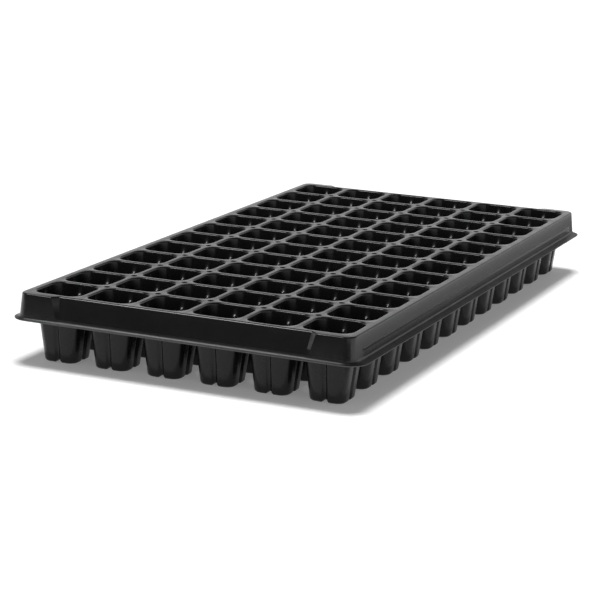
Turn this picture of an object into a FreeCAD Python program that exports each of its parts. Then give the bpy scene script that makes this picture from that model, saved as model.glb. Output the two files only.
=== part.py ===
"""A 72-cell plug tray, thermoformed from one sheet of black polystyrene.

Units are millimetres. +Z is up, and the origin is on the surface that the cells stand on, under the
middle of the tray. X runs across the tray, Y runs along it, and the front is the short end at -Y.
The sheet is divided into its natural regions, which meet face to face: twelve rows of cells, the
skirt's two long sides, two recessed ends and four corner pads, and the four lips at its foot.
"""

import FreeCAD, Part
import math
import os

# Driving dimensions.
PITCH = 43.0  # from the middle of one cell to the next, both ways
COLUMNS = 6  # cells across, along X
ROWS = 12  # cells along, along Y
HEIGHT = 53.5  # from the feet of the cells to the top of the deck
SHEET = 0.8  # the sheet's thickness in the deck, the skirt and the lip
CUP_WALL = 0.6  # the sheet's thickness where it is drawn down into a cell

# One cell. Its half width is that of the outside of the cup, with its sides carried up to the deck.
CUP_HALF = 17.9
CUP_DRAFT = 5.3  # degrees
CUP_TOP_CORNER = 5.4
CUP_FOOT_CORNER = 4.2
FOOT_BEVEL = 1.2
MOUTH_ROUND = 3.4
RIB_RADIUS = 2.2  # the groove that each rib leaves on the outside of the cup
RIB_TIP_RADIUS = 0.9  # where the groove ends, above its tapered tip
RIB_TIP_LENGTH = 1.8
RIB_TOP_DEPTH = 7.4  # from the top of the deck to the top of a rib
CHANNEL_DEPTH = 1.6  # the two channels that cross under the floor of a cell
CHANNEL_HALF = 2.0  # half a channel's width where it meets the foot
CHANNEL_TOP_HALF = 1.2
DRAIN_RADIUS = 4.0
VENT_RADIUS = 2.1  # the hole where four cells meet

# The border: how far the top edge of the skirt stands outside the grid of cells.
SIDE_MARGIN = 3.9
END_MARGIN = 2.2  # at the recessed middle of each short end
PAD_MARGIN = 6.5  # at the corner pads, which stand proud of that middle
SKIRT_TOP_CORNER = 8.0
SKIRT_FOOT_CORNER = 9.0
SKIRT_DROP = 18.1  # from the top of the deck to the foot of the skirt
SIDE_FLARE = 1.7  # how far a long side spreads from top to foot
PAD_FLARE = 1.5
PAD_TOP_REACH = 23.6  # from the side of the grid to the end of a pad, at the top
FLANK_TOP_REACH = 33.1  # from the side of the grid to the recessed middle, at the top
PAD_FOOT_REACH = 29.1
FLANK_FOOT_REACH = 31.1
FLANK_GAP = 1.0  # from a flank to the line that parts the pad from the middle

# The moulded ledge along each long side.
LEDGE_DROP = 11.6
LEDGE_PROUD = 0.25  # how far it stands outside the rest of the side, at the foot
LEDGE_FLARE = 0.5  # how far it would spread over the whole height of the skirt
LEDGE_GAP = 9.0  # from the end of the grid to the end of the ledge

# The lip at the foot of the skirt.
SIDE_LIP = 5.9
END_LIP = 2.1
LIP_DROP = 1.3
LIP_CORNER = 13.0

GRID_X = COLUMNS * PITCH / 2
GRID_Y = ROWS * PITCH / 2
FOOT_Z = HEIGHT - SKIRT_DROP
LIP_Z = FOOT_Z - LIP_DROP
LONG_SIDE_Y = GRID_Y - LEDGE_GAP  # where a long side ends and a corner pad begins
SHORT_END_X = GRID_X - FLANK_TOP_REACH - FLANK_GAP  # where a short end ends and a corner pad begins
FAR = GRID_X + GRID_Y  # well outside the tray
ABOVE = 2 * HEIGHT  # well above it
TOUCH = 1e-4  # how near two heights are to count as one


def vec(x, y, z):
    return FreeCAD.Vector(x, y, z)


def box(x0, x1, y0, y1, z0, z1):
    """A box between two corners."""
    return Part.makeBox(x1 - x0, y1 - y0, z1 - z0, vec(x0, y0, z0))


def upright(radius, x, y, z0, z1):
    """A round bar standing on end."""
    return Part.makeCylinder(radius, z1 - z0, vec(x, y, z0), vec(0, 0, 1))


def quarter(centre, radius, start):
    """A quarter circle in a level plane, anticlockwise from start degrees."""
    turns = [math.radians(start + step) for step in (0, 45, 90)]
    points = [centre + vec(radius * math.cos(turn), radius * math.sin(turn), 0) for turn in turns]
    return Part.Arc(*points).toShape()


def straight(start, end):
    return Part.LineSegment(start, end).toShape()


def rounded_rectangle(half_x, half_y, radius, z):
    """The eight edges of a rectangle with round corners, anticlockwise from the +X side."""
    corners = []
    for sign_x, sign_y, start in ((1, 1, 0), (-1, 1, 90), (-1, -1, 180), (1, -1, 270)):
        centre = vec(sign_x * (half_x - radius), sign_y * (half_y - radius), z)
        corners.append(quarter(centre, radius, start))
    edges = []
    for corner, following in zip(corners, corners[1:] + corners[:1]):
        end = corner.valueAt(corner.LastParameter)
        edges += [corner, straight(end, following.valueAt(following.FirstParameter))]
    return edges


def band_face(low, high):
    """The face between two edges: flat where it can be, otherwise ruled."""
    low_ends = [low.valueAt(low.FirstParameter), low.valueAt(low.LastParameter)]
    high_ends = [high.valueAt(high.FirstParameter), high.valueAt(high.LastParameter)]
    both_straight = isinstance(low.Curve, Part.Line) and isinstance(high.Curve, Part.Line)
    if both_straight:
        normal = (low_ends[1] - low_ends[0]).cross(high_ends[0] - low_ends[0]).normalize()
        if abs(normal.dot(high_ends[1] - low_ends[0])) < TOUCH:
            corners = [low_ends[0], low_ends[1], high_ends[1], high_ends[0], low_ends[0]]
            return Part.Face(Part.makePolygon(corners))
    return Part.makeRuledSurface(low, high)


def stacked(sections):
    """A solid through level outlines, lowest first, each with the same number of edges."""
    faces = [Part.Face(Part.Wire(sections[0])), Part.Face(Part.Wire(sections[-1]))]
    for low, high in zip(sections, sections[1:]):
        faces += [band_face(low_edge, high_edge) for low_edge, high_edge in zip(low, high)]
    shell = Part.makeShell(faces)
    shell.sewShape()
    solid = Part.Solid(shell)
    if solid.Volume < 0:
        solid.reverse()
    return solid


def cup_half(z, inset):
    """Half the width of a cup at a height, on a surface inset from its outside."""
    return CUP_HALF - inset - (HEIGHT - z) * math.tan(math.radians(CUP_DRAFT))


def cup_section(z, inset, spread):
    """A level section of a cup, spread past its drafted wall where it rounds into the deck or the floor."""
    share = z / HEIGHT
    corner = share * CUP_TOP_CORNER + (1 - share) * CUP_FOOT_CORNER - inset + spread
    half = cup_half(z, inset) + spread
    return rounded_rectangle(half, half, corner, z)


def cup_solid(inset, deck_z):
    """The cup's outside, or its hollow one wall in, with a bevelled foot and a rounded mouth."""
    bevel = FOOT_BEVEL - (2 - math.sqrt(2)) * inset  # keeps the wall as thick there
    mouth_round = MOUTH_ROUND - CUP_WALL + inset
    sections = [cup_section(inset, inset, -bevel), cup_section(inset + bevel, inset, 0)]
    for degrees in (0, 45, 90):
        angle = math.radians(degrees)
        spread = mouth_round * (1 - math.cos(angle))
        sections.append(cup_section(deck_z - mouth_round * (1 - math.sin(angle)), inset, spread))
    return stacked(sections)


def wall_ribs(radius):
    """The four upright ribs of a cup, each a rod with a tapered tip along the middle of an outer wall."""
    top_z = HEIGHT - RIB_TOP_DEPTH - RIB_TIP_LENGTH
    low_z = -2 * RIB_RADIUS
    top = vec(cup_half(top_z, 0), 0, top_z)
    low = vec(cup_half(low_z, 0), 0, low_z)
    rod = Part.makeCylinder(radius, (top - low).Length, low, top - low)
    grown = radius - RIB_RADIUS
    tip = Part.makeCone(radius, RIB_TIP_RADIUS + grown, RIB_TIP_LENGTH, top, top - low)
    rib = rod.fuse(tip)
    ribs = [rib]
    for turn in (90, 180, 270):
        ribs.append(rib.rotated(vec(0, 0, 0), vec(0, 0, 1), turn))
    return ribs


def floor_channels(grow):
    """The two channels that cross under the floor of a cup, narrower at the top, grown by a wall."""
    wide = CHANNEL_HALF + grow
    narrow = CHANNEL_TOP_HALF + grow
    half_profile = [(wide, -CHANNEL_DEPTH), (wide, 0), (narrow, CHANNEL_DEPTH + grow)]
    profile = half_profile + [(-x, z) for x, z in reversed(half_profile)]
    points = [vec(x, -PITCH / 2, z) for x, z in profile]
    along_y = Part.Face(Part.makePolygon(points + points[:1])).extrude(vec(0, PITCH, 0))
    return [along_y, along_y.rotated(vec(0, 0, 0), vec(0, 0, 1), 90)]


def cell():
    """One cell with its own square of the deck, centred on the Z axis."""
    half = PITCH / 2
    deck_under = HEIGHT - SHEET
    deck = box(-half, half, -half, half, deck_under, HEIGHT)
    outside = cup_solid(0, deck_under).fuse(deck).removeSplitter()
    outside = outside.cut(wall_ribs(RIB_RADIUS) + floor_channels(0))
    hollow = cup_solid(CUP_WALL, HEIGHT)
    hollow = hollow.cut(wall_ribs(RIB_RADIUS + CUP_WALL) + floor_channels(CUP_WALL))
    drain = upright(DRAIN_RADIUS, 0, 0, -half, half)
    return outside.cut([hollow, drain])


def plain_row():
    """A row of cells across the tray, before its vent holes, with its middle at Y = 0."""
    plain_cell = cell()
    cells = []
    for column in range(COLUMNS):
        cells.append(plain_cell.translated(vec((column + 0.5) * PITCH - GRID_X, 0, 0)))
    return cells[0].fuse(cells[1:]).removeSplitter()


def cell_row(row, plain):
    """One row of cells in its place, with half a vent hole wherever four cells meet along its edges."""
    vents = []
    for column in range(1, COLUMNS):
        for line in (row, row + 1):
            if 0 < line < ROWS:
                x = column * PITCH - GRID_X
                y = line * PITCH - GRID_Y
                vents.append(upright(VENT_RADIUS, x, y, HEIGHT / 2, ABOVE))
    return plain.translated(vec(0, (row + 0.5) * PITCH - GRID_Y, 0)).cut(vents)


def skirt_outline(side, pad, middle, corner, pad_end, middle_end, z):
    """The skirt's outline at a height, anticlockwise from the front of the +X side.

    side is the half width, and pad and middle the half lengths at a corner pad and between the pads.
    pad_end and middle_end are where, along X, a pad ends and the recessed middle begins.
    """
    points = [
        vec(side - corner, pad, z),
        vec(pad_end, pad, z),
        vec(middle_end, middle, z),
        vec(-middle_end, middle, z),
        vec(-pad_end, pad, z),
        vec(corner - side, pad, z),
    ]
    half = [quarter(vec(side - corner, pad - corner, z), corner, 0)]
    half += [straight(start, end) for start, end in zip(points, points[1:])]
    half.append(quarter(vec(corner - side, pad - corner, z), corner, 90))
    half.append(straight(vec(-side, pad - corner, z), vec(-side, corner - pad, z)))
    return half + [edge.rotated(vec(0, 0, 0), vec(0, 0, 1), 180) for edge in half]


def skirt_solid(inset, top_z):
    """The block inside the skirt's outer surface, or inside its inner one, with the ledge on each side."""
    top = skirt_outline(
        GRID_X + SIDE_MARGIN - inset,
        GRID_Y + PAD_MARGIN - inset,
        GRID_Y + END_MARGIN - inset,
        SKIRT_TOP_CORNER - inset,
        GRID_X - PAD_TOP_REACH,
        GRID_X - FLANK_TOP_REACH,
        HEIGHT,
    )
    foot_y = GRID_Y + PAD_MARGIN + PAD_FLARE - inset
    foot = skirt_outline(
        GRID_X + SIDE_MARGIN + SIDE_FLARE - inset,
        foot_y,
        foot_y,
        SKIRT_FOOT_CORNER - inset,
        GRID_X - PAD_FOOT_REACH,
        GRID_X - FLANK_FOOT_REACH,
        FOOT_Z,
    )
    block = stacked([foot, top])
    if top_z < HEIGHT:
        block = block.cut(box(-FAR, FAR, -FAR, FAR, top_z, HEIGHT + SHEET))
    return block.fuse([ledge(sign, inset) for sign in (-1, 1)]).removeSplitter()


def ledge(sign, inset):
    """The lower part of a long side, which stands a step proud of the part above it."""
    foot_x = GRID_X + SIDE_MARGIN + SIDE_FLARE + LEDGE_PROUD - inset
    top_z = HEIGHT - LEDGE_DROP - inset
    top_x = foot_x - LEDGE_FLARE * (top_z - FOOT_Z) / SKIRT_DROP
    profile = [
        vec(sign * foot_x, -LONG_SIDE_Y, FOOT_Z),
        vec(sign * top_x, -LONG_SIDE_Y, top_z),
        vec(sign * (GRID_X - inset), -LONG_SIDE_Y, top_z),
        vec(sign * (GRID_X - inset), -LONG_SIDE_Y, FOOT_Z),
    ]
    face = Part.Face(Part.makePolygon(profile + profile[:1]))
    return face.extrude(vec(0, 2 * LONG_SIDE_Y, 0))


def skirt_ring():
    """The whole skirt with its strip of the deck, all round the grid of cells."""
    grid = box(-GRID_X, GRID_X, -GRID_Y, GRID_Y, 0, ABOVE)
    return skirt_solid(0, HEIGHT).cut([skirt_solid(SHEET, HEIGHT - SHEET), grid])


def lip_block(drop):
    """The block under the top of the lip, lowered by a drop and widening to the lip's cut edge."""
    half_x = GRID_X + SIDE_MARGIN + SIDE_FLARE
    half_y = GRID_Y + PAD_MARGIN + PAD_FLARE
    cut_edge = (half_x + SIDE_LIP, half_y + END_LIP, LIP_CORNER)
    sections = [
        rounded_rectangle(*cut_edge, LIP_Z - drop - SHEET),
        rounded_rectangle(*cut_edge, LIP_Z - drop),
        rounded_rectangle(half_x, half_y, SKIRT_FOOT_CORNER, FOOT_Z - drop),
    ]
    return stacked(sections)


def lip_ring():
    """The whole lip, as thick as the sheet, from the inside of the skirt's foot to the cut edge."""
    inner_x = GRID_X + SIDE_MARGIN + SIDE_FLARE - SHEET
    inner_y = GRID_Y + PAD_MARGIN + PAD_FLARE - SHEET
    corner = SKIRT_FOOT_CORNER - SHEET
    inner = [rounded_rectangle(inner_x, inner_y, corner, z) for z in (0, HEIGHT)]
    return lip_block(0).cut([lip_block(SHEET), stacked(inner)])


def lip_sector(name):
    """The wedge of the plan that one lip fills: the lips are parted at the middle of each corner."""
    half_x = GRID_X + SIDE_MARGIN + SIDE_FLARE
    half_y = GRID_Y + PAD_MARGIN + PAD_FLARE
    turn_in = half_x / 2
    ends = {
        "lip_front": (vec(-1, -1, 0), vec(1, -1, 0)),
        "lip_right": (vec(1, -1, 0), vec(1, 1, 0)),
        "lip_back": (vec(1, 1, 0), vec(-1, 1, 0)),
        "lip_left": (vec(-1, 1, 0), vec(-1, -1, 0)),
    }
    corners = []
    for sign in ends[name]:
        inner = vec(sign.x * (half_x - turn_in), sign.y * (half_y - turn_in), 0)
        outer = vec(sign.x * (half_x + turn_in), sign.y * (half_y + turn_in), 0)
        corners.append((inner, outer))
    outline = [corners[0][0], corners[0][1], corners[1][1], corners[1][0], corners[0][0]]
    return Part.Face(Part.makePolygon(outline)).extrude(vec(0, 0, HEIGHT))


def skirt_regions():
    """The boxes that part the skirt into its sides, ends and corner pads, by node name."""
    regions = {
        "side_skirt_left": box(-FAR, 0, -LONG_SIDE_Y, LONG_SIDE_Y, 0, ABOVE),
        "side_skirt_right": box(0, FAR, -LONG_SIDE_Y, LONG_SIDE_Y, 0, ABOVE),
        "end_skirt_front": box(-SHORT_END_X, SHORT_END_X, -FAR, 0, 0, ABOVE),
        "end_skirt_back": box(-SHORT_END_X, SHORT_END_X, 0, FAR, 0, ABOVE),
    }
    for side, x0, x1 in (("left", -FAR, -SHORT_END_X), ("right", SHORT_END_X, FAR)):
        for end, y0, y1 in (("front", -FAR, -LONG_SIDE_Y), ("back", LONG_SIDE_Y, FAR)):
            regions[f"corner_pad_{end}_{side}"] = box(x0, x1, y0, y1, 0, ABOVE)
    return regions


def write(name, shape):
    """Writes one node, and says how many solids it has and how large they are."""
    solids = shape.Solids
    if not solids or not all(solid.isValid() for solid in solids):
        raise RuntimeError(f"{name} has no valid solid")
    Part.makeCompound(solids).exportStep(f"parts/{name}.step")
    print(name, len(solids), "solids", round(shape.Volume / 1000, 2), "cm3")


os.makedirs("parts", exist_ok=True)

plain = plain_row()
for row in range(ROWS):
    write(f"cell_row_{row + 1:02d}", cell_row(row, plain))

skirt = skirt_ring()
for name, region in skirt_regions().items():
    write(name, skirt.common(region))

lip = lip_ring()
for name in ("lip_front", "lip_right", "lip_back", "lip_left"):
    write(name, lip.common(lip_sector(name)))
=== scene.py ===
"""A 72-cell plug tray of black thermoformed polystyrene, standing on a pale floor."""

import math

import bpy
from mathutils import Euler, Matrix, Vector


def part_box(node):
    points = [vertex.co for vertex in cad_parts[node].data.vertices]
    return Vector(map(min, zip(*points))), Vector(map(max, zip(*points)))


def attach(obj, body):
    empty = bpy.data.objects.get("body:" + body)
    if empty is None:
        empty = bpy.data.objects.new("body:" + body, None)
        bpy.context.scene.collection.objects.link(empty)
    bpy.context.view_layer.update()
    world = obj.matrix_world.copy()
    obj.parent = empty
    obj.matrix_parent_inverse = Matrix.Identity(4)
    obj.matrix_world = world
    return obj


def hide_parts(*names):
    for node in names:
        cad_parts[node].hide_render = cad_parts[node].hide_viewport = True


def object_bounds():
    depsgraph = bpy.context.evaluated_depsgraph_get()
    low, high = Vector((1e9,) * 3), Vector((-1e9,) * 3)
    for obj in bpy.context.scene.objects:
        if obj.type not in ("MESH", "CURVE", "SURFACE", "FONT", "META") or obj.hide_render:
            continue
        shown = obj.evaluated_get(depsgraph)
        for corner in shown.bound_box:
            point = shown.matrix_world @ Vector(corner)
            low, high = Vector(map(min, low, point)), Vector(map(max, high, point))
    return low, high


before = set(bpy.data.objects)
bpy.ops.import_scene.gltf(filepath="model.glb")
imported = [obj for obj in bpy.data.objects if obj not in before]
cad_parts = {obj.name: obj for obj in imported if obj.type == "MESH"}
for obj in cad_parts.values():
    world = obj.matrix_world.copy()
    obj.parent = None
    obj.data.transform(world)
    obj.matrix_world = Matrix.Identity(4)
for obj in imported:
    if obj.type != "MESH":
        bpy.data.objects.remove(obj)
cad_box = [list(corner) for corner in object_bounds()]


# The rows of cells. Each is six square wells in a strip of the deck, drawn out of the one sheet
# of black polystyrene. Four ribs stiffen each well, and two channels cross under its floor, with
# a drain hole through their crossing. A vent is punched wherever four wells meet.

mm = 0.001
hair = 0.01 * mm  # two places this close are the same place
near = 0.1 * mm  # and two this close are on the same line
columns = 6
rows = 12
row_low, row_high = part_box("cell_row_01")
deck = row_high.z
pitch = (row_high.x - row_low.x) / columns
first_row_y = (row_low.y + row_high.y) / 2

well_sheet = 0.7 * mm
well_half = 19.1 * mm  # half the width inside a well, with its walls carried up to the deck
well_floor_half = 13.1 * mm
well_round = 1.1 * mm  # where the deck turns down into the well
well_corner = 9.4 * mm  # how round its corners are, in the same place
well_draft = 5.5  # degrees
floor_round = 1.4 * mm
wall_guard = 0.35 * mm  # a line this far below the mouth's turn keeps the wall flat
foot_guard = 0.5 * mm  # and one this far above the floor's
vent_radius = 2.3 * mm
drain_radius = 4 * mm
punch_length = 12 * mm
cell_crease = math.radians(50)  # a sharper bend than this shows as an edge

rib_width = 2.4 * mm  # half of it, at the wall
rib_depth = 1.7 * mm
rib_top = deck - 7.0 * mm
# The lines that carry the bend of a rib: each side of its middle, then down from its tip.
rib_columns = [0.9 * mm, 1.7 * mm, 2.3 * mm, 2.75 * mm, 3.1 * mm, 4.0 * mm]
rib_tip_rows = [0, 0.5 * mm, 1.1 * mm, 1.8 * mm, 2.6 * mm, 3.2 * mm]
channel_lifts = [  # how far each side of its middle line, and how much higher from there in
    (3.0 * mm, 0.3 * mm),
    (2.5 * mm, 0.5 * mm),
    (2.0 * mm, 0.6 * mm),
    (1.2 * mm, 0.3 * mm),
]


def only(piece):
    """Leaves only this piece selected, and active."""
    bpy.ops.object.select_all(action="DESELECT")
    piece.select_set(True)
    bpy.context.view_layer.objects.active = piece


def pick(piece, kind, test):
    """Opens the piece in edit mode, and selects what passes the test and nothing else."""
    if piece.mode == "OBJECT":
        only(piece)
        bpy.ops.object.mode_set(mode="EDIT")
    bpy.ops.mesh.select_mode(type=kind)
    bpy.ops.mesh.select_all(action="DESELECT")
    bpy.ops.object.mode_set(mode="OBJECT")
    mesh = piece.data
    if kind == "VERT":
        for vertex in mesh.vertices:
            vertex.select = test(vertex.co)
    elif kind == "EDGE":
        for edge in mesh.edges:
            ends = [mesh.vertices[i].co for i in edge.vertices]
            edge.select = test(*ends)
    else:
        for face in mesh.polygons:
            face.select = test(face.center, face.normal)
    bpy.ops.object.mode_set(mode="EDIT")


def cut(place, direction):
    """Cuts all of the open piece along a plane."""
    bpy.ops.mesh.select_all(action="SELECT")
    bpy.ops.mesh.bisect(plane_co=place, plane_no=direction)


def finish_modifiers(piece):
    """Applies the piece's modifiers, in order."""
    only(piece)
    for modifier in list(piece.modifiers):
        bpy.ops.object.modifier_apply(modifier=modifier.name)


def copy_of(piece, name, move):
    """A copy with its own mesh, moved, and with its place then in that mesh."""
    only(piece)
    bpy.ops.object.duplicate(linked=False)
    twin = bpy.context.object
    twin.name = name
    twin.data.name = name
    twin.location = move
    bpy.ops.object.transform_apply(location=True, rotation=True, scale=True)
    return twin


def joined(pieces):
    """The pieces as one, in the place of the first."""
    bpy.ops.object.select_all(action="DESELECT")
    for piece in pieces:
        piece.select_set(True)
    bpy.context.view_layer.objects.active = pieces[0]
    bpy.ops.object.join()
    return pieces[0]


def model_well():
    """One well, from the edge of its mouth to its floor, with its middle on the Z axis."""
    mouth_half = well_half + well_round
    bpy.ops.object.select_all(action="DESELECT")
    bpy.ops.mesh.primitive_plane_add(size=2 * mouth_half, location=(0, 0, deck))
    well = bpy.context.object
    well.name = "well"
    bpy.ops.object.transform_apply(location=True)
    bpy.ops.object.mode_set(mode="EDIT")
    bpy.ops.mesh.select_all(action="SELECT")
    bpy.ops.mesh.bevel(affect="VERTICES", offset=well_corner + well_round, segments=6, profile=0.5)

    # The mouth turns down, then the wall runs to the floor with its draft, then turns in.
    pick(well, "FACE", lambda centre, normal: True)
    turns = [math.radians(degrees) for degrees in (0, 28, 56, 90 - well_draft)]
    for before, after in zip(turns, turns[1:]):
        inward = well_round * (math.sin(after) - math.sin(before))
        down = well_round * (math.cos(before) - math.cos(after))
        bpy.ops.mesh.inset(thickness=inward, depth=-down)
    wall_top = deck - well_round * (1 - math.cos(turns[-1]))
    wall_foot = well_sheet + floor_round
    foot_half = well_floor_half + floor_round * 0.1
    top_half = well_half + well_round * (1 - math.sin(turns[-1]))
    narrowing = foot_half / top_half
    bpy.ops.mesh.extrude_region_move(TRANSFORM_OT_translate={"value": (0, 0, wall_foot - wall_top)})
    bpy.ops.transform.resize(value=(narrowing, narrowing, 1), center_override=(0, 0, wall_foot))
    turns = [math.radians(degrees) for degrees in (well_draft, 35, 62, 90)]
    for before, after in zip(turns, turns[1:]):
        down = floor_round * (math.sin(after) - math.sin(before))
        inward = floor_round * (math.cos(before) - math.cos(after))
        bpy.ops.mesh.inset(thickness=inward, depth=-down)

    for column in [0] + rib_columns + [-column for column in rib_columns]:
        cut((column, 0, 0), (1, 0, 0))
        cut((0, column, 0), (0, 1, 0))
    for row in rib_tip_rows:
        cut((0, 0, rib_top - row), (0, 0, 1))
    for row in (wall_top - wall_guard, wall_foot + foot_guard):
        cut((0, 0, row), (0, 0, 1))

    # The channels lift the floor, and the foot of the wall, step by step along both middle lines.
    for reach, lift in channel_lifts:

        def under_channel(place):
            low_down = place.z < deck / 4
            return low_down and min(abs(place.x), abs(place.y)) < reach

        pick(well, "VERT", under_channel)
        bpy.ops.transform.translate(value=(0, 0, lift))

    # Each rib is pressed in along the middle of a wall, from just under its tip to the floor.
    for x, y in ((1, 0), (-1, 0), (0, 1), (0, -1)):
        outward = Vector((x, y, 0))

        def in_rib(place):
            on_line = abs(place.x * y - place.y * x) < near
            on_wall = place.dot(outward) > well_floor_half - floor_round
            return on_line and on_wall and place.z < rib_top - rib_width

        pick(well, "VERT", in_rib)
        bpy.ops.transform.translate(
            value=outward * -rib_depth,
            use_proportional_edit=True,
            proportional_edit_falloff="SPHERE",
            proportional_size=rib_width,
        )
    bpy.ops.object.mode_set(mode="OBJECT")
    return well


def model_cell(well):
    """The well with its own square of the deck."""
    cell = copy_of(well, "cell", (0, 0, 0))
    bpy.ops.object.mode_set(mode="EDIT")
    bpy.ops.mesh.select_mode(type="VERT")
    bpy.ops.mesh.select_all(action="DESELECT")
    bpy.ops.mesh.primitive_plane_add(size=pitch, location=(0, 0, deck))
    bpy.ops.mesh.delete(type="ONLY_FACE")
    pick(cell, "EDGE", lambda start, end: min(start.z, end.z) > deck - hair)
    bpy.ops.mesh.fill(use_beauty=True)
    bpy.ops.object.mode_set(mode="OBJECT")
    return cell


def model_row(kind, vent_sides):
    """A row of six cells, with vents along the sides that face another row."""
    middles = [(column + 0.5) * pitch + row_low.x for column in range(columns)]
    row = joined([copy_of(cell, f"cell_{column}", (x, 0, 0)) for column, x in enumerate(middles)])
    row.name = kind
    bpy.ops.object.mode_set(mode="EDIT")
    bpy.ops.mesh.select_all(action="SELECT")
    bpy.ops.mesh.remove_doubles(threshold=0.02 * mm)
    bpy.ops.object.mode_set(mode="OBJECT")

    wall = row.modifiers.new("sheet", "SOLIDIFY")
    wall.thickness = well_sheet
    wall.offset = -1
    finish_modifiers(row)

    # The vents and the drain holes are punched together, by one set of round punches.
    punches = []
    for column, x in enumerate(middles):
        punches.append((x, 0, 0, drain_radius))
        if column > 0:
            for side in vent_sides:
                punches.append((x - pitch / 2, side * pitch / 2, deck, vent_radius))
    cylinders = []
    for *place, radius in punches:
        bpy.ops.mesh.primitive_cylinder_add(
            vertices=24, radius=radius, depth=punch_length, location=place
        )
        cylinders.append(bpy.context.object)
    punch = joined(cylinders)
    holes = row.modifiers.new("holes", "BOOLEAN")
    holes.operation = "DIFFERENCE"
    holes.solver = "EXACT"
    holes.object = punch
    finish_modifiers(row)
    bpy.data.objects.remove(punch)
    only(row)
    bpy.ops.object.shade_smooth_by_angle(angle=cell_crease)
    return row


well = model_well()
cell = model_cell(well)
front_row = model_row("front_row", (1,))
middle_row = model_row("middle_row", (-1, 1))
back_row = model_row("back_row", (-1,))


def black_sheet(name, colour, gloss, wave, specks):
    """Black polystyrene: a broad unevenness from forming, a fine grain and a little dust."""
    material = bpy.data.materials.new(name)
    material.use_nodes = True
    nodes, links = material.node_tree.nodes, material.node_tree.links
    shader = nodes["Principled BSDF"]
    shader.inputs["IOR"].default_value = 1.5
    place = nodes.new("ShaderNodeTexCoord").outputs["Object"]

    def noise(scale, detail, roughness=0.5):
        texture = nodes.new("ShaderNodeTexNoise")
        texture.inputs["Scale"].default_value = scale
        texture.inputs["Detail"].default_value = detail
        texture.inputs["Roughness"].default_value = roughness
        links.new(place, texture.inputs["Vector"])
        return texture

    def span(source, low, high, to_low, to_high):
        scaled = nodes.new("ShaderNodeMapRange")
        scaled.inputs["From Min"].default_value = low
        scaled.inputs["From Max"].default_value = high
        scaled.inputs["To Min"].default_value = to_low
        scaled.inputs["To Max"].default_value = to_high
        links.new(source, scaled.inputs["Value"])
        return scaled.outputs["Result"]

    def maths(kind, first, second):
        node = nodes.new("ShaderNodeMath")
        node.operation = kind
        for socket, value in zip(node.inputs, (first, second)):
            if isinstance(value, (int, float)):
                socket.default_value = value
            else:
                links.new(value, socket)
        return node.outputs["Value"]

    # Dust: sparse pale flecks, only where a broad noise lets them gather.
    flecks = nodes.new("ShaderNodeTexVoronoi")
    flecks.inputs["Scale"].default_value = 420
    flecks.inputs["Randomness"].default_value = 1
    links.new(place, flecks.inputs["Vector"])
    fleck = span(flecks.outputs["Distance"], 0.10, 0.04, 0, 1)
    gather = span(noise(38, 3, 0.6).outputs["Fac"], 0.58, 0.72, 0, specks)
    dust = maths("MULTIPLY", fleck, gather)
    cloud = noise(24, 4, 0.6).outputs["Fac"]

    tint = nodes.new("ShaderNodeMix")
    tint.data_type = "RGBA"
    tint.inputs["A"].default_value = (*[0.8 * part for part in colour], 1)
    tint.inputs["B"].default_value = (*[1.25 * part for part in colour], 1)
    links.new(span(cloud, 0.3, 0.7, 0, 1), tint.inputs["Factor"])
    dusty = nodes.new("ShaderNodeMix")
    dusty.data_type = "RGBA"
    dusty.inputs["B"].default_value = (0.32, 0.31, 0.29, 1)
    links.new(tint.outputs["Result"], dusty.inputs["A"])
    links.new(dust, dusty.inputs["Factor"])
    links.new(dusty.outputs["Result"], shader.inputs["Base Color"])

    rough = span(noise(60, 5, 0.65).outputs["Fac"], 0.3, 0.7, gloss - 0.05, gloss + 0.06)
    links.new(maths("ADD", rough, maths("MULTIPLY", dust, 0.4)), shader.inputs["Roughness"])

    broad = nodes.new("ShaderNodeBump")
    broad.inputs["Strength"].default_value = 1
    broad.inputs["Distance"].default_value = wave
    links.new(noise(45, 2).outputs["Fac"], broad.inputs["Height"])
    grain = nodes.new("ShaderNodeBump")
    grain.inputs["Strength"].default_value = 0.12
    grain.inputs["Distance"].default_value = 0.004 * mm
    links.new(noise(1500, 3).outputs["Fac"], grain.inputs["Height"])
    links.new(broad.outputs["Normal"], grain.inputs["Normal"])
    links.new(grain.outputs["Normal"], shader.inputs["Normal"])
    return material


wave = 0.05 * mm
cell_sheet = black_sheet("cell_sheet", (0.0042, 0.0043, 0.0042), gloss=0.24, wave=wave, specks=0.2)
for number in range(1, rows + 1):
    pattern = front_row if number == 1 else back_row if number == rows else middle_row
    name = f"cell_row_{number:02d}"
    cell_row = copy_of(pattern, f"cells_{number:02d}", (0, first_row_y + (number - 1) * pitch, 0))
    cell_row.data.materials.append(cell_sheet)
    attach(cell_row, "root")
    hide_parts(name)
for pattern in (well, cell, front_row, middle_row, back_row):
    bpy.data.objects.remove(pattern)


# The skirt, with its strip of the deck and the lip at its foot, is the same sheet turned down all
# round the wells. It is modelled as one ring, then parted between its sides, ends and corner pads.

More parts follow.
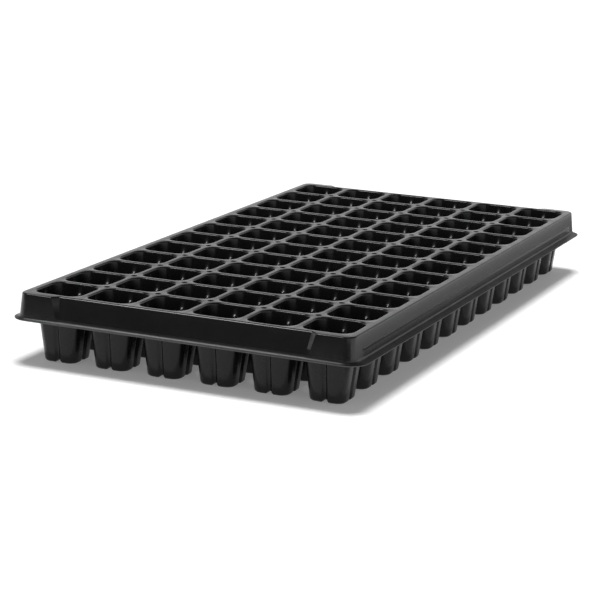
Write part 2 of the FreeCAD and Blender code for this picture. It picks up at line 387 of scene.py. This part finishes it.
sheet = 0.8 * mm
deck_edge_round = 1.1 * mm
side_low, side_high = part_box("side_skirt_right")
end_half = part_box("end_skirt_front")[1].x
foot = side_low.z
side_top_x = row_high.x + 3.9 * mm
pad_top_y = -row_low.y + 6.5 * mm
middle_top_y = -row_low.y + 2.2 * mm
side_foot_x = side_top_x + 1.7 * mm
pad_foot_y = pad_top_y + 1.5 * mm
pad_top_x = row_high.x - 23.6 * mm  # where the face of a pad ends, at the top and at the foot
flank_top_x = row_high.x - 28.6 * mm
pad_foot_x = row_high.x - 29.1 * mm
flank_foot_x = row_high.x - 31.1 * mm
top_corner = 8 * mm
foot_corner = 9 * mm
lip_corner = 15 * mm
lip_x = -cad_box[0][0]
lip_y = -cad_box[0][1]
lip_drop = 1.3 * mm
foot_round = 1.2 * mm
ledge_top = deck - 11.4 * mm
ledge_slope = 0.5 * mm  # the height of its step
ledge_out = 1.5 * mm  # how far it stands out at the step, and halfway from there to the foot
ledge_middle_out = 0.95 * mm
ledge_run = 4 * mm  # over which it fades out at each end
ledge_end = side_high.y
skirt_crease = math.radians(16)


def model_ring():
    """The whole skirt and lip as one surface, from the grid of wells to the cut edge of the lip."""
    bpy.ops.object.select_all(action="DESELECT")
    bpy.ops.mesh.primitive_plane_add(size=2, location=(0, 0, deck))
    ring = bpy.context.object
    ring.name = "ring"
    bpy.ops.object.transform_apply(location=True)
    bpy.ops.object.mode_set(mode="EDIT")
    bpy.ops.mesh.select_all(action="SELECT")
    bpy.ops.transform.resize(value=(side_top_x, pad_top_y, 1), center_override=(0, 0, deck))
    for x in (pad_top_x, flank_top_x):
        cut((x, 0, 0), (1, 0, 0))
        cut((-x, 0, 0), (1, 0, 0))
    bpy.ops.mesh.select_mode(type="FACE")
    bpy.ops.mesh.select_all(action="SELECT")
    bpy.ops.mesh.dissolve_faces()
    for side in (-1, 1):
        pick(ring, "VERT", lambda place: place.y * side > 0 and abs(place.x) < flank_top_x + mm)
        bpy.ops.transform.translate(value=(0, side * (middle_top_y - pad_top_y), 0))
    pick(ring, "VERT", lambda place: abs(place.x) > side_top_x - mm)
    bpy.ops.mesh.bevel(affect="VERTICES", offset=top_corner, segments=9, profile=0.5)

    # The walls: every edge of the outline goes down to the foot, and each stretch of it moves out.
    def draw(down, moves, old_corner, new_corner, half_x, half_y):
        """Extrudes the open outline downwards, and moves each stretch of it to its place."""
        bpy.ops.mesh.extrude_edges_move(TRANSFORM_OT_translate={"value": (0, 0, -down)})
        bpy.ops.object.mode_set(mode="OBJECT")
        level = min(vertex.co.z for vertex in ring.data.vertices)
        bpy.ops.object.mode_set(mode="EDIT")
        for sign_x in (-1, 1):
            for sign_y in (-1, 1):
                centre_x, centre_y = half_x - old_corner, half_y - old_corner
                pick(
                    ring,
                    "VERT",
                    lambda place: place.z < level + hair
                    and place.x * sign_x > centre_x - near / 2
                    and place.y * sign_y > centre_y - near / 2,
                )
                grown = new_corner / old_corner
                middle = (sign_x * centre_x, sign_y * centre_y, level)
                bpy.ops.transform.resize(value=(grown, grown, 1), center_override=middle)
                shift_x = moves["side"] + old_corner - new_corner
                shift_y = moves["pad"] + old_corner - new_corner
                bpy.ops.transform.translate(value=(sign_x * shift_x, sign_y * shift_y, 0))
        for sign_x in (-1, 1):
            for sign_y in (-1, 1):
                for x, move_x, move_y in moves["along"]:
                    pick(
                        ring,
                        "VERT",
                        lambda place: place.z < level + hair
                        and place.y * sign_y > 0
                        and abs(place.x * sign_x - x) < near,
                    )
                    bpy.ops.transform.translate(value=(sign_x * move_x, sign_y * move_y, 0))

    def at_outline(level):
        return lambda start, end: max(abs(start.z - level), abs(end.z - level)) < hair

    pick(ring, "EDGE", at_outline(deck))
    draw(
        deck - foot,
        {
            "side": side_foot_x - side_top_x,
            "pad": pad_foot_y - pad_top_y,
            "along": [
                (pad_top_x, pad_foot_x - pad_top_x, pad_foot_y - pad_top_y),
                (flank_top_x, flank_foot_x - flank_top_x, pad_foot_y - middle_top_y),
            ],
        },
        top_corner,
        foot_corner,
        side_top_x,
        pad_top_y,
    )
    pick(ring, "EDGE", at_outline(foot))
    draw(
        lip_drop,
        {
            "side": lip_x - side_foot_x,
            "pad": lip_y - pad_foot_y,
            "along": [(x, 0, lip_y - pad_foot_y) for x in (pad_foot_x, flank_foot_x)],
        },
        foot_corner,
        lip_corner,
        side_foot_x,
        pad_foot_y,
    )

    # The deck is opened over the wells, and a ledge is pressed out low along each long side.
    pick(ring, "FACE", lambda centre, normal: centre.z > deck - hair)
    for x in (row_low.x, row_high.x):
        bpy.ops.mesh.bisect(plane_co=(x, 0, 0), plane_no=(1, 0, 0))
        pick(ring, "FACE", lambda centre, normal: centre.z > deck - hair)
    for y in (row_low.y, -row_low.y):
        bpy.ops.mesh.bisect(plane_co=(0, y, 0), plane_no=(0, 1, 0))
        pick(ring, "FACE", lambda centre, normal: centre.z > deck - hair)
    pick(
        ring,
        "FACE",
        lambda centre, normal: centre.z > deck - hair
        and abs(centre.x) < row_high.x
        and abs(centre.y) < -row_low.y,
    )
    bpy.ops.mesh.delete(type="FACE")
    ledge_middle = (ledge_top + foot) / 2
    for level in (ledge_top, ledge_top - ledge_slope, (deck + ledge_top) / 2, ledge_middle):
        pick(ring, "FACE", lambda centre, normal: abs(normal.z) < 0.5)
        bpy.ops.mesh.bisect(plane_co=(0, 0, level), plane_no=(0, 0, 1))

    def on_side(centre, normal):
        return abs(normal.x) > 0.9 and abs(centre.x) > side_top_x

    for y in (ledge_end - mm, ledge_end - mm - ledge_run):
        for side in (-1, 1):
            pick(ring, "FACE", on_side)
            bpy.ops.mesh.bisect(plane_co=(0, side * y, 0), plane_no=(0, 1, 0))
    for side in (-1, 1):
        for level, move in ((ledge_top - ledge_slope, ledge_out), (ledge_middle, ledge_middle_out)):
            pick(
                ring,
                "VERT",
                lambda place: abs(place.z - level) < near / 2
                and place.x * side > side_top_x
                and abs(place.y) < ledge_end - ledge_run,
            )
            bpy.ops.transform.translate(value=(side * move, 0, 0))

    # The bends are round at the deck's edge and the foot, and sharp at the ledge and the flanks.
    def outside_grid(place):
        return abs(place.x) > row_high.x + mm or abs(place.y) > -row_low.y + mm

    def round_off(test, size, segments):
        pick(ring, "EDGE", test)
        bpy.ops.mesh.bevel(
            affect="EDGES", offset=size, segments=segments, profile=0.5, clamp_overlap=True
        )

    round_off(
        lambda start, end: min(start.z, end.z) > deck - hair
        and outside_grid(start)
        and outside_grid(end),
        deck_edge_round,
        7,
    )
    round_off(at_outline(foot), foot_round, 6)
    bpy.ops.object.mode_set(mode="OBJECT")
    wall = ring.modifiers.new("sheet", "SOLIDIFY")
    wall.thickness = sheet
    wall.offset = -1
    wall.use_even_offset = True
    finish_modifiers(ring)
    return ring


def parted(name, planes):
    """The stretch of the ring inside all the planes, each a point and a direction outwards."""
    piece = copy_of(ring, name, (0, 0, 0))
    bpy.ops.object.mode_set(mode="EDIT")
    for place, direction in planes:
        bpy.ops.mesh.select_all(action="SELECT")
        bpy.ops.mesh.bisect(plane_co=place, plane_no=direction, use_fill=True, clear_outer=True)
    bpy.ops.object.mode_set(mode="OBJECT")
    only(piece)
    bpy.ops.object.shade_smooth_by_angle(angle=skirt_crease)
    return piece


ring = model_ring()
seam = foot + 2 * mm  # where the walls end and the lip's own pieces begin
above_seam = ((0, 0, seam), (0, 0, -1))
skirt_sheet = black_sheet(
    "skirt_sheet", (0.0045, 0.0046, 0.0045), gloss=0.22, wave=wave, specks=0.45
)
skirts = {}
for side, sign in (("left", -1), ("right", 1)):
    ends = [((0, sign_y * ledge_end, 0), (0, sign_y, 0)) for sign_y in (-1, 1)]
    skirts[f"side_skirt_{side}"] = ends + [((0, 0, 0), (-sign, 0, 0)), above_seam]
for end, sign in (("front", -1), ("back", 1)):
    ends = [((sign_x * end_half, 0, 0), (sign_x, 0, 0)) for sign_x in (-1, 1)]
    skirts[f"end_skirt_{end}"] = ends + [((0, 0, 0), (0, -sign, 0)), above_seam]
    for side, sign_x in (("left", -1), ("right", 1)):
        across = ((sign_x * end_half, 0, 0), (-sign_x, 0, 0))
        along = ((0, sign * ledge_end, 0), (0, -sign, 0))
        skirts[f"corner_pad_{end}_{side}"] = [across, along, above_seam]
for node, planes in skirts.items():
    skirt = parted(f"{node}_sheet", planes)
    skirt.data.materials.append(skirt_sheet)
    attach(skirt, "root")
    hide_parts(node)


# The lip runs round the foot of the skirt and slopes down a little to its die-cut edge, where the
# cut has left the black sheet rougher. The cut face is also painted paler: a painted highlight, for
# the thin light line along the lip's edge. It is parted at the middle of each corner.

lip_sheet = black_sheet("lip_sheet", (0.006, 0.0061, 0.006), gloss=0.38, wave=wave, specks=0.4)
# The cut face is painted ten times paler than the lip: a painted highlight along its edge.
cut_edge_highlight = black_sheet("cut_edge_highlight", (0.06, 0.06, 0.06), gloss=0.5, wave=wave, specks=0.3)
below_seam = ((0, 0, seam), (0, 0, 1))
lips = ("lip_front", "lip_right", "lip_back", "lip_left")
corners = [(-1, -1), (1, -1), (1, 1), (-1, 1)]
for name, start, end in zip(lips, corners, corners[1:] + corners[:1]):
    middle_way = Vector((start[0] + end[0], start[1] + end[1], 0)).normalized()
    along = Vector((-middle_way.y, middle_way.x, 0))
    planes = [((0, 0, 0), -middle_way)]
    for corner in (start, end):
        outward = along if along.dot(Vector((*corner, 0))) > 0 else -along
        place = (corner[0] * side_foot_x, corner[1] * pad_foot_y, 0)
        planes.append((place, outward - middle_way))
    lip = parted(f"{name}_sheet", planes + [below_seam])
    lip.data.materials.append(lip_sheet)
    lip.data.materials.append(cut_edge_highlight)
    # The steep faces low on the lip are the cut edge, and take its painted highlight.
    for face in lip.data.polygons:
        on_edge = abs(face.normal.z) < 0.65 and face.center.z < foot - 0.6 * mm
        face.material_index = int(on_edge)
    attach(lip, "root")
    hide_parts(name)
bpy.data.objects.remove(ring)


# The studio has a plain pale floor, a soft lamp almost overhead that casts the shadow, and a soft
# box above the front left. The horizon glows. Glowing cards that only reflections see are painted
# reflections of shade: they keep the sheet dark where it mirrors the floor and the room.

bpy.ops.object.select_all(action="DESELECT")
floor_width = 12
bpy.ops.mesh.primitive_plane_add(size=floor_width, location=(0, 0, 0))
floor = bpy.context.object
floor.name = "floor"
paint = bpy.data.materials.new("floor_paint")
paint.use_nodes = True
matt = paint.node_tree.nodes["Principled BSDF"]
matt.inputs["Base Color"].default_value = (0.92, 0.92, 0.92, 1)
matt.inputs["Roughness"].default_value = 0.9
matt.inputs["Emission Color"].default_value = (1, 1, 1, 1)
matt.inputs["Emission Strength"].default_value = 0.16  # keeps the shadow pale
floor.data.materials.append(paint)


def painted_reflection(name, place, width, height, turn, glow):
    """A card that only the reflections in the sheet can see, glowing evenly: a painted reflection.
    """
    bpy.ops.mesh.primitive_plane_add(size=1, location=place, rotation=turn)
    card = bpy.context.object
    card.name = name
    card.scale = (width, height, 1)
    bpy.ops.object.transform_apply(location=True, rotation=True, scale=True)
    reflection_glow = bpy.data.materials.new(name)
    reflection_glow.use_nodes = True
    shader = reflection_glow.node_tree.nodes["Principled BSDF"]
    shader.inputs["Base Color"].default_value = (0, 0, 0, 1)
    shader.inputs["Emission Color"].default_value = (1, 1, 1, 1)
    shader.inputs["Emission Strength"].default_value = glow
    card.data.materials.append(reflection_glow)
    card.visible_camera = False
    card.visible_diffuse = False
    card.visible_shadow = False
    card.visible_transmission = False


upright = (math.radians(90), 0, 0)
flat = (0, 0, 0)
# The upright cards darken what the sheet mirrors in front of it. The flat cards lie round the tray
# and glow dimmer than the lit floor, standing in for shade on the floor near it as the sheet
# mirrors it. All of them are painted shade in the reflections.
painted_reflection("low_painted_reflection", (-0.2, -0.44, 0.029), 1.4, 0.056, upright, 0.1)
painted_reflection("tall_painted_reflection", (-0.8, -1.05, 0.7), 2.6, 1.38, upright, 0.05)
painted_reflection("side_painted_shade", (0.201, 0.1, 0.001), 0.066, 1.3, flat, 0.2)
painted_reflection("side_shade", (0.3, 0.2, 0.001), 0.13, 1.3, flat, 0.5)
painted_reflection("front_shade", (0, -0.3, 0.0012), 0.6, 0.08, flat, 0.5)
painted_reflection("side_bounce", (0.15, 0.1, 0.001), 0.036, 1.3, flat, 0.45)

world = bpy.data.worlds.new("studio")
bpy.context.scene.world = world
world.use_nodes = True
tree = world.node_tree
sky = tree.nodes.new("ShaderNodeTexCoord")
split = tree.nodes.new("ShaderNodeSeparateXYZ")
ramp = tree.nodes.new("ShaderNodeValToRGB")
tree.links.new(sky.outputs["Generated"], split.inputs["Vector"])
tree.links.new(split.outputs["Z"], ramp.inputs["Fac"])
tree.links.new(ramp.outputs["Color"], tree.nodes["Background"].inputs["Color"])
# How bright the room is, from the horizon up to overhead.
glows = [(0.0, 0.9), (0.28, 0.85), (0.42, 0.3), (0.6, 0.05), (1.0, 0.03)]
ramp.color_ramp.elements[0].position = glows[0][0]
ramp.color_ramp.elements[1].position = glows[-1][0]
for position, _ in glows[1:-1]:
    ramp.color_ramp.elements.new(position)
for stop, (_, glow) in zip(ramp.color_ramp.elements, glows):
    stop.color = (glow, glow, glow, 1)


def lamp(name, kind, place, energy):
    """A lamp at a place, aimed at the middle of the tray."""
    data = bpy.data.lights.new(name, kind)
    data.energy = energy
    light = bpy.data.objects.new(name, data)
    bpy.context.scene.collection.objects.link(light)
    light.location = place
    light.rotation_euler = (Vector((0, 0, 0)) - light.location).to_track_quat("-Z", "Y").to_euler()
    return light


key = lamp("key", "SUN", (-0.07, 0.1, 1.0), 3.3)
key.data.angle = math.radians(24)
key.visible_glossy = False
box = lamp("soft_box", "AREA", (-0.5, -0.61, 1.03), 9)
box.data.shape = "RECTANGLE"
box.data.size = 0.5
box.data.size_y = 0.5

# The soft box lights everything but the floor, so the floor keeps only one shadow.
off_floor = bpy.data.collections.new("off_floor")
off_floor.objects.link(floor)
off_floor.collection_objects[0].light_linking.link_state = "EXCLUDE"
box.light_linking.receiver_collection = off_floor


# The camera looks a little down on the tray, from in front and to the right.

camera_data = bpy.data.cameras.new("camera")
camera = bpy.data.objects.new("camera", camera_data)
bpy.context.scene.collection.objects.link(camera)
camera_data.lens = 126.2
camera_data.sensor_width = 36
tilt, heading, roll = math.radians(76.49), math.radians(23.34), math.radians(1.73)
turn = Euler((tilt, 0, heading)).to_matrix() @ Matrix.Rotation(roll, 3, "Z")
camera.location = (0.652, -1.561, 0.415)
camera.rotation_euler = turn.to_euler()
bpy.context.scene.camera = camera
bpy.context.scene.view_settings.view_transform = "Standard"
